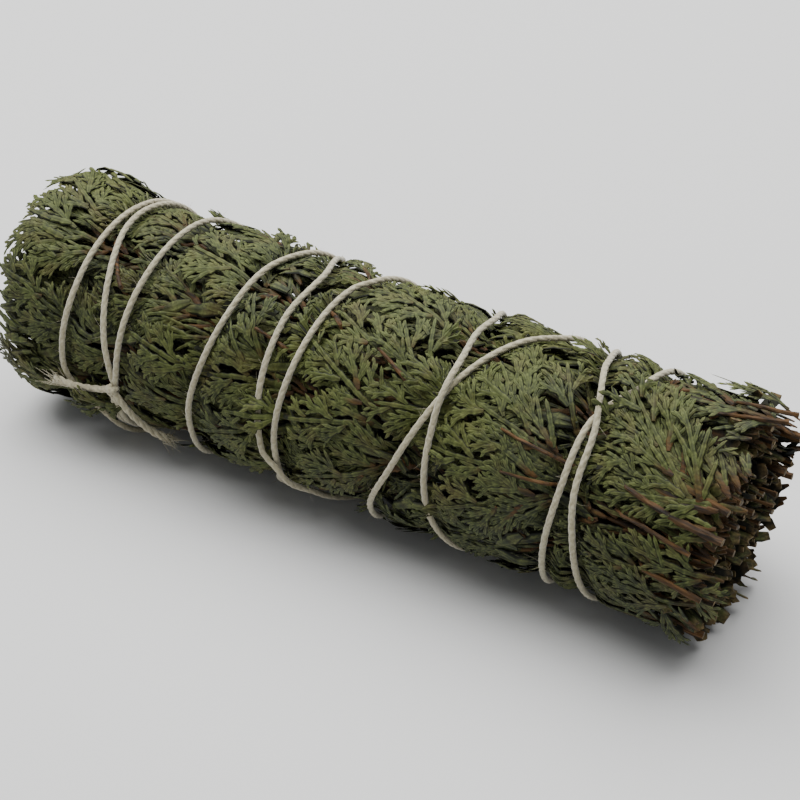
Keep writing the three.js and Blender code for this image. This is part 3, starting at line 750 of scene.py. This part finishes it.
def packed():
    """Angles and distances of things packed STEM_PITCH apart in hexagonal rings round one."""
    q, r = np.mgrid[-PACKED_RINGS : PACKED_RINGS + 1, -PACKED_RINGS : PACKED_RINGS + 1]
    keep = np.abs(q + r) <= PACKED_RINGS
    q, r = q[keep], r[keep]
    y, z = STEM_PITCH * (q + r / 2), STEM_PITCH * r * np.sin(np.pi / 3)
    return np.arctan2(-y, z), np.hypot(y, z)


def lumpy_rod(pile, from_x, to_x, radius, rough, rng, tint):
    """A rod along X whose radius waves with x and angle, by sums of three sines, and whose ends
    close in two steps towards the middle line."""
    xs = np.linspace(from_x, to_x, int((to_x - from_x) / 0.9))
    turn = np.linspace(0, 360, 64, endpoint=False)
    wave = sum(
        np.sin(k * np.radians(turn) + w * xs[:, None] + p)
        for k, w, p in ((7, 0.9, 0.3), (11, -1.7, 1.1), (19, 2.6, 2.0))
    )
    r = radius + rough * (wave / 3 + 0.5 * rng.standard_normal(wave.shape))
    xs = np.r_[xs[0] - 0.4, xs[0] - 0.1, xs, xs[-1] + 0.1, xs[-1] + 0.4]
    r = np.concatenate([r[:1] * 0.3, r[:1] * 0.8, r, r[-1:] * 0.8, r[-1:] * 0.3])
    pile.tubes(place(xs[:, None], r, turn)[None], tint=tint, wood=0.25)


def turned_round(distance, angle, turn):
    """A placing that sets a flat spray along the stick at a distance and angle from its middle
    line, rolled by turn about its own stem, and never below the flat underside."""

    def placed(down, out, lift):
        high = lift - 0.45
        y = -distance * np.sin(angle) - out * np.cos(turn) - high * np.sin(turn)
        z = distance * np.cos(angle) - out * np.sin(turn) + high * np.cos(turn)
        return xyz(down, y, np.maximum(z, -REST_DEPTH))

    return placed


def tucked_in(x, angle, radius):
    """A placing that rolls a flat spray round the middle line, its tip at x, and sinks it by a
    quarter of the distance down its stem."""

    def placed(down, out, lift):
        return place(x + down, radius - 0.25 * down + lift, angle + np.degrees(out / radius))

    return placed


def on_core(down, out, lift):
    """A placing over the leafy core, out being measured round the bundle's outside."""
    return swollen(down, np.degrees(out / BUNDLE_RADIUS), CORE_RADIUS - 0.2 + lift, INNER_SPRING)


def under_surface(down, out, lift):
    """The same, with the lift counted from the bundle's outside."""
    angle = np.degrees(out / BUNDLE_RADIUS)
    return swollen(down, angle, outer_radius(down, angle) + lift, INNER_SPRING)


def loose_ends(pile, rng, count, within, **ranges):
    """Shoots scattered evenly over a disc round the middle line, each rolled about its own stem
    by chance. ranges gives the low and the high of each of their numbers."""
    distance, angle = within * np.sqrt(rng.uniform(0, 1, count)), rng.uniform(0, 2 * np.pi, count)
    group = shoots(lift=0.4, **{c: rng.uniform(*pair, count) for c, pair in ranges.items()})
    for i in range(count):
        placed = turned_round(distance[i], angle[i], rng.uniform(0, 2 * np.pi))
        grow(pile, placed, [chosen(group, [i])])


def strewn(rng, count, down, around, heading, length, lift, rise, tipped, tint, power=1.0, **rest):
    """Shoots at random places. Down, around, length and lift are a low and a high; heading, rise
    and tipped are a most to either side; tint is a mean and a spread. The lift goes from low to
    high with a power of an even draw."""
    low, high = lift
    return shoots(
        down=rng.uniform(*down, count), out=np.radians(rng.uniform(*around, count)) * BUNDLE_RADIUS,
        heading=rng.uniform(-heading, heading, count), length=rng.uniform(*length, count),
        lift=low + (high - low) * rng.uniform(0, 1, count) ** power,
        rise=rng.uniform(-rise, rise, count), tipped=rng.uniform(-tipped, tipped, count),
        tint=tint[0] + tint[1] * rng.standard_normal(count), **rest,
    )


def inner_sprays(material):
    """The leafy core, small sprays and loose ends at its leafy end, and loose shoots round it,
    under the top and inside the leafy end, which show dark between the outer sprays. The core and
    the loose shoots round it and under the top are tinted dark as painted shade."""
    rng = np.random.default_rng(7)
    pile = Pile()
    # Painted shade: the core and the shoots round it are tinted dark, as they lie under the outer
    # sprays
    lumpy_rod(pile, ROD_TIPS_X, MEETING_X - GAP, CORE_RADIUS - 0.5, 0.35, rng, -1.6)
    for i in range(RIM_SPRAYS):
        placed = tucked_in(-55.3 + 1.4 * scatter(i, 8), i * GOLDEN_ANGLE, 9.6 + 3.4 * ((i % 3) / 2))
        groups = branch_out(rng, 0.6, 9.5, envelope=0.75, tint=-0.2)
        stem = shoots(down=9.0, length=9.4, width=0.5, taper=0.4, lift=0.5, tint=-0.4, wood=0.3)
        grow(pile, placed, [*groups, stem])
    loose_ends(
        pile, rng, 400, 10.5, down=(-51, -47), heading=(-0.5, 0.5), bend=(-0.1, 0.1),
        length=(4.2, 7.0), width=(0.55, 0.85), tint=(0.6, 2.4), wood=(-0.8, 0.3),
    )
    core = strewn(
        rng, 1000, down=(-47, 41), around=(0, 360), heading=0.8, length=(4, 7.5), width=1.0,
        taper=0.3, lift=(0.2, 5.2), rise=0.05, tipped=0.4, tint=(-1.0, 0.3),
    )
    top = strewn(
        rng, 420, down=(-47, 44), around=(-80, 0), heading=0.6, length=(4, 7), width=0.75,
        taper=0.3, lift=(-1.3, -3.3), rise=0.05, tipped=0.3, tint=(-0.9, 0.3),
    )
    tips = strewn(
        rng, 540, down=(-51.5, -47), around=(0, 360), heading=0.4, length=(3.5, 5.6), width=0.5,
        taper=0.2, lift=(-0.4, -6.0), power=1.5, rise=0.1, tipped=0.5, tint=(-0.2, 0.4),
    )
    grow(pile, on_core, [core])
    grow(pile, under_surface, [tips, top])
    pile.piece("inner_sprays_leaves", material, "inner_leaves", "inner_sprays")


def inner_stems(material):
    """The bunch of bare stems at the cut end: packed ones as in the solid, thinner ones among
    them, and torn bits of leaf and bark that curl out."""
    rng = np.random.default_rng(11)
    pile = Pile()
    lumpy_rod(pile, MEETING_X + 0.6, CORE_STEMS_X, STEM_BUNCH_RADIUS - 0.5, 0.3, rng, -1.2)
    for i, (angle, distance) in enumerate(zip(*packed())):
        radius = np.interp(scatter(i, 6), [-1, 1], [0.3, 0.62])
        placed = turned_round(distance, angle, angle)
        end = CUT_X - 1.2 + 1.7 * scatter(i, 7)
        tint = 0.3 * rng.standard_normal()
        stem_tube(pile, placed, CORE_STEMS_X - 4, end, [radius, radius], tint, rng, True, 1.2)
    for _ in range(THIN_STEMS):
        distance, angle = 12.2 * np.sqrt(rng.uniform(0.02, 1)), rng.uniform(0, 2 * np.pi)
        placed = turned_round(distance, angle, angle)
        end = min(CUT_X + CUT_SLANT * np.cos(angle) - 1.2 + 0.9 * rng.standard_normal(), 50.2)
        radii, tint = [rng.uniform(0.2, 0.42)] * 2, 0.4 * rng.standard_normal()
        stem_tube(pile, placed, CORE_STEMS_X - 5, end, radii, tint, rng, True, 1.6)
    loose_ends(
        pile, rng, 440, 13.0, down=(CUT_X - 7.0, CUT_X - 5.0), heading=(np.pi - 0.6, np.pi + 0.6),
        bend=(-0.2, 0.2), length=(4.2, 6.2), width=(0.6, 1.1), rise=(-0.1, 0.1),
        tint=(0.0, 3.4), wood=(-0.7, 1.0), stub=(0.6, 1.0),
    )
    pile.piece("inner_stems_bunch", material, "stems", "inner_stems")


# String


def resampled(step, at, *others):
    """A line of points, and others that go with them, at even steps along it, and the steps."""
    run = np.r_[0, np.cumsum(np.linalg.norm(np.diff(at, axis=0), axis=1))]
    s = np.linspace(0, run[-1], max(4, int(run[-1] / step)))
    return (*(xyz(*(np.interp(s, run, v) for v in line.T)) for line in (at, *others)), s)


def twisted(pile, at, away, s, spread=1.0):
    """Three plies that wind round a line of points: each is a tube whose middle circles it once
    for each PLY_PITCH of length, at PLY_OFFSET times the spread."""
    up, aside = facing(ahead_of(at), away)
    twist = 2 * np.pi * (s / PLY_PITCH + np.arange(PLIES)[:, None] / PLIES)[..., None]
    offset = PLY_OFFSET * np.reshape(spread, (-1, 1))
    middle = at + offset * np.cos(twist) * up + offset * np.sin(twist) * aside
    pile.tubes(middle[:, :, None] + PLY_RADIUS * circles(up, aside, PLY_SIDES))


def tail_line(stations):
    """A loose end: its points run straight through (angle, x, lift) stations and are then
    smoothed by a Hann window."""
    t = np.linspace(0, len(stations) - 1, 60)
    smooth = np.hanning(15) / np.hanning(15).sum()
    straight = (np.interp(t, np.arange(len(stations)), v) for v in np.array(stations, float).T)
    return on_string(*(np.convolve(np.pad(v, 7, mode="edge"), smooth, "valid") for v in straight))


def hairs(pile, rng, roots, directions, lengths, thickness, curl=0.5):
    """Thin three-sided fibres: each bends to a random side by the square of the distance from
    its root and narrows to its end. None goes through the floor."""
    u = np.linspace(0, 1, 6)
    sideways = rng.standard_normal(roots.shape)
    bow = curl * lengths[:, None, None] * u[None, :, None] ** 2 * sideways[:, None]
    middle = roots[:, None] + directions[:, None] * (lengths[:, None] * u)[..., None] + bow
    middle[..., 2] = np.maximum(middle[..., 2], FLOOR_Z + thickness)
    one = unit(np.cross(directions, sideways))
    ring = circles(one, np.cross(directions, one), 3)
    radius = thickness * (1 - 0.6 * u)
    pile.tubes(middle[:, :, None] + radius[:, None, None] * ring[:, None])


def knot(pile):
    """Two turns of the same string, each a helix: one round the tails, one across them."""
    middle, away = (v[0] for v in on_string(np.array([KNOT_ANGLE]), np.array([KNOT_X]), KNOT_LIFT))
    ahead = np.array([1.0, 0.0, 0.0])
    aside = np.cross(ahead, away)
    for along, across, turns, advance in ((1.0, -0.35, 1.4, 1.0), (0.25, 1.0, 1.3, 0.9)):
        axis = unit(along * ahead + across * aside)
        t = np.linspace(0, 2 * np.pi * turns, 60)
        loop = (
            middle
            + (KNOT_RADIUS * np.cos(t))[:, None] * np.cross(axis, away)
            + (KNOT_RADIUS * np.sin(t))[:, None] * away
            + ((t / t[-1] - 0.5) * advance)[:, None] * axis
        )
        even, s = resampled(0.3, loop)
        twisted(pile, even, unit(even - middle), s)


def cotton_string(material):
    """The first loop, winding, knot and frayed tails, in three plies, and their fibres."""
    rng = np.random.default_rng(23)
    pile, fluff = Pile(), Pile()
    lines = [(*wound_line(stations, 2)[:2], False) for stations in (FIRST_LOOP, WINDING)]
    lines += [(*tail_line(stations), True) for stations in (SHORT_TAIL, LONG_TAIL)]
    for at, away, frayed in lines:
        even, away, s = resampled(0.6, at, away)
        ahead = ahead_of(even)
        spread = 1.9 + 1.8 * smoothstep(s, s[-1] - 4.0, s[-1]) if frayed else 1.0
        twisted(pile, even, away, s, spread)
        count = int(s[-1] / FIBRE_PITCH)
        pick = rng.integers(1, len(even) - 1, count)
        side = unit(rng.standard_normal((count, 3)))
        heading = unit(side + 0.9 * ahead[pick] * rng.choice([-1, 1], count)[:, None])
        hairs(fluff, rng, even[pick] + 0.4 * side, heading, rng.uniform(0.4, 1.2, count), 0.022)
        if frayed:
            heading = unit(ahead[-1] + 0.32 * rng.standard_normal((FRAYED_FIBRES, 3)))
            roots = even[-1] - 0.8 * ahead[-1] + 0.35 * rng.standard_normal((FRAYED_FIBRES, 3))
            hairs(fluff, rng, roots, heading, rng.uniform(0.8, 2.4, FRAYED_FIBRES), 0.07, curl=0.3)
    knot(pile)
    pile.piece("string_plies", material, "cotton", "string", smooth=True)
    fluff.piece("string_fibres", material, "cotton", smooth=True)


# Materials

PER_MM = 1000.0  # over a size in mm, it is the Scale of a pattern with features of that size


def linear(code):
    """An sRGB hex colour as linear RGBA: each channel by the sRGB transfer curve."""
    channels = np.array([int(code[i : i + 2], 16) for i in (1, 3, 5)]) / 255
    curve = ((channels + 0.055) / 1.055) ** 2.4
    return (*np.where(channels <= 0.04045, channels / 12.92, curve).tolist(), 1.0)


def plug(tree, made, **inputs):
    """Gives each named input of a node a value or a link. An input name's spaces are written as
    underscores, and an underscore and a number pick an input by its place."""
    for key, value in inputs.items():
        socket = made.inputs[int(key[1:]) if key[0] == "_" else key.replace("_", " ")]
        if isinstance(value, bpy.types.NodeSocket):
            tree.links.new(value, socket)
        else:
            socket.default_value = value


def node(tree, kind, settings=None, **inputs):
    """Adds a node, makes its own settings, and plugs its inputs."""
    made = tree.nodes.new("ShaderNode" + kind)
    for key, value in (settings or {}).items():
        setattr(made, key, value)
    plug(tree, made, **inputs)
    return made


def new_material(name):
    """A material with only a Principled shader, linked to its output."""
    material = bpy.data.materials.new(name)
    material.use_nodes = True
    tree = material.node_tree
    tree.nodes.clear()
    shader = node(tree, "BsdfPrincipled")
    node(tree, "OutputMaterial", _0=shader.outputs[0])
    return material, tree, shader


def layered(tree, under, over, pattern, low=0.0, high=1.0, share=1.0):
    """The colour under, turned towards over by up to a share as a pattern goes from low to high."""
    amount = node(tree, "MapRange", _0=pattern, _1=low, _2=high, _4=share)
    mixed = node(tree, "Mix", {"data_type": "RGBA"}, _0=amount.outputs[0], _6=under, _7=over)
    return mixed.outputs[2]


def dried_cedar():
    """Dried cedar, matt and a little waxy: olive scale leaves, browned in patches, with a painted
    highlight on their shoulders and painted shade, near black, at their edges and in the creases,
    on thin red-brown bark with tan cut wood."""
    material, tree, shader = new_material("dried_cedar_leaf_and_bark")
    marks = node(tree, "Attribute", {"attribute_name": "mark"})
    tint, rim, wood = node(tree, "SeparateColor", _0=marks.outputs["Color"]).outputs
    where = node(tree, "TexCoord").outputs["Object"]
    patches, mottle, bloom, aged, waxy, grain = (
        node(tree, "TexNoise", Vector=where, Scale=PER_MM / size, Detail=detail).outputs[0]
        for size, detail in ((6, 2.0), (1.6, 4.0), (0.35, 3.0), (2.4, 2.0), (17, 1.0), (0.6, 3.0))
    )
    mottled = node(tree, "MapRange", _0=mottle, _1=0.3, _2=0.7).outputs[0]
    shade = node(tree, "Math", {"operation": "MULTIPLY_ADD"}, _0=tint, _1=0.3, _2=mottled)
    # A fine noise that breaks up the painted highlight on the shoulders
    highlight_breakup = node(tree, "MapRange", _0=bloom, _1=0.3, _2=0.6).outputs[0]
    shoulder_highlight = node(tree, "Math", {"operation": "MULTIPLY"}, _0=rim, _1=highlight_breakup)
    # From the darkest leaf to grey olive by its shade, which holds painted shade by depth and
    # towards the cut end, brown and straw in old patches, grey where the wax is thick, yellow green
    # where it is thin, then a painted highlight on the shoulders and painted shade, near black, by
    # the rim
    leaf = linear("#050801")
    for code, pattern, low, high, share in (
        ("#424a21", shade.outputs[0], -0.6, 1.0, 1.0),
        ("#4a3a1a", patches, 0.56, 0.74, 0.5),
        ("#4b4522", aged, 0.5, 0.66, 0.5),
        ("#2a3125", waxy, 0.5, 0.66, 0.5),
        ("#4c531b", waxy, 0.46, 0.34, 0.4),
        ("#7f864c", shoulder_highlight.outputs[0], 0.0, 0.6, 0.42),
        ("#040600", rim, 0.1, -0.8, 0.9),
    ):
        leaf = layered(tree, leaf, linear(code), pattern, low, high, share)
    # Bark in long streaks: the pattern's x is squeezed, which draws it out along the stick
    drawn = node(tree, "Mapping", _0=where, _3=(0.12, 1.0, 1.0)).outputs[0]
    streaks = node(tree, "TexNoise", Vector=drawn, Scale=PER_MM / 0.5, Detail=4.0).outputs[0]
    bark = layered(tree, linear("#160d04"), linear("#553a19"), streaks, 0.35, 0.65)
    sawn = layered(tree, linear("#2f2415"), linear("#75623e"), grain, 0.35, 0.65)
    colour = layered(tree, layered(tree, leaf, bark, wood), sawn, marks.outputs["Alpha"])
    relief = node(tree, "Bump", Strength=0.5, Distance=0.00012, Height=bloom).outputs[0]
    plug(tree, shader, Base_Color=colour, Roughness=0.72, Specular_IOR_Level=0.3, Normal=relief)
    return material


def cotton():
    """Undyed cotton, spun and plied: soft and matt, a warm white that is a little soiled. Its
    fibres are far finer than the render shows, so their streaks are drawn 0.4 mm apart."""
    material, tree, shader = new_material("plied_cotton_string")
    where = node(tree, "TexCoord").outputs["Object"]
    fine, soiled = (
        node(tree, "TexNoise", Vector=where, Scale=PER_MM / size, Detail=detail).outputs[0]
        for size, detail in ((0.4, 4.0), (6, 2.0))
    )
    colour = layered(tree, linear("#8f876b"), linear("#b5ae92"), fine, 0.3, 0.7)
    colour = layered(tree, colour, linear("#8f866c"), soiled, 0.5, 0.75, 0.35)
    relief = node(tree, "Bump", Strength=0.6, Distance=0.0001, Height=fine).outputs[0]
    plug(tree, shader, Base_Color=colour, Roughness=0.95, Normal=relief)
    plug(tree, shader, Sheen_Weight=0.35, Sheen_Roughness=0.6)
    return material


def studio_floor():
    """Matt pale board: near white, with no pattern that shows."""
    material, tree, shader = new_material("matt_pale_board")
    where = node(tree, "TexCoord").outputs["Object"]
    tone = node(tree, "TexNoise", Vector=where, Scale=PER_MM / 120, Detail=1.0).outputs[0]
    colour = layered(tree, linear("#cbcbca"), linear("#cfcfce"), tone)
    plug(tree, shader, Base_Color=colour, Roughness=0.9)
    return material


# Studio

CAMERA = {"azimuth": 32.05, "elevation": 34.77, "distance": 0.2227, "lens": 77.97}
CAMERA_TARGET = np.array([0.0, 0.0, 0.134])  # layout millimetres
WORLD_COLOUR = (0.95, 0.97, 1.0, 1.0)
WORLD_STRENGTH = 0.31
KEY_AT = Vector((-0.13, 0.14, 0.62))
KEY_SIZE = 0.9
KEY_POWER = 14.7
FLOOR_HALF = 1.5


def set_up(name, data, at, towards):
    """An object at a point, turned so that its -Z looks in a direction."""
    made = shown(name, data)
    made.location = at
    made.rotation_euler = towards.to_track_quat("-Z", "Y").to_euler()
    return made


def camera():
    """A camera at an azimuth from the front and an elevation, looking at its target."""
    az, el = np.radians(CAMERA["azimuth"]), np.radians(CAMERA["elevation"])
    back = np.array([np.sin(az) * np.cos(el), -np.cos(az) * np.cos(el), np.sin(el)])
    data = bpy.data.cameras.new("camera")
    data.lens = CAMERA["lens"]
    data.sensor_width = 36.0
    data.clip_start = 0.01
    at = Vector(to_frame(CAMERA_TARGET) + CAMERA["distance"] * back)
    bpy.context.scene.camera = set_up("camera", data, at, Vector(-back))


def studio():
    """A pale floor far wider than the view, an even pale world, and one broad light above."""
    corners = [(x * FLOOR_HALF, y * FLOOR_HALF, 0) for x, y in ((-1, -1), (1, -1), (1, 1), (-1, 1))]
    mesh = bpy.data.meshes.new("floor")
    mesh.from_pydata(corners, [], [(0, 1, 2, 3)])
    mesh.materials.append(studio_floor())
    shown("floor", mesh)
    world = bpy.data.worlds.new("studio")
    world.use_nodes = True
    background = world.node_tree.nodes["Background"]
    plug(world.node_tree, background, Color=WORLD_COLOUR, Strength=WORLD_STRENGTH)
    bpy.context.scene.world = world
    key = bpy.data.lights.new("key", "AREA")
    key.size = KEY_SIZE
    key.energy = KEY_POWER
    set_up("key", key, KEY_AT, -KEY_AT)


# The whole

cedar = dried_cedar()
for n in range(FIRST_SPRAY, LAST_SPRAY + 1):
    outer_spray(n, cedar)
inner_sprays(cedar)
inner_stems(cedar)
cotton_string(cotton())
studio()
camera()
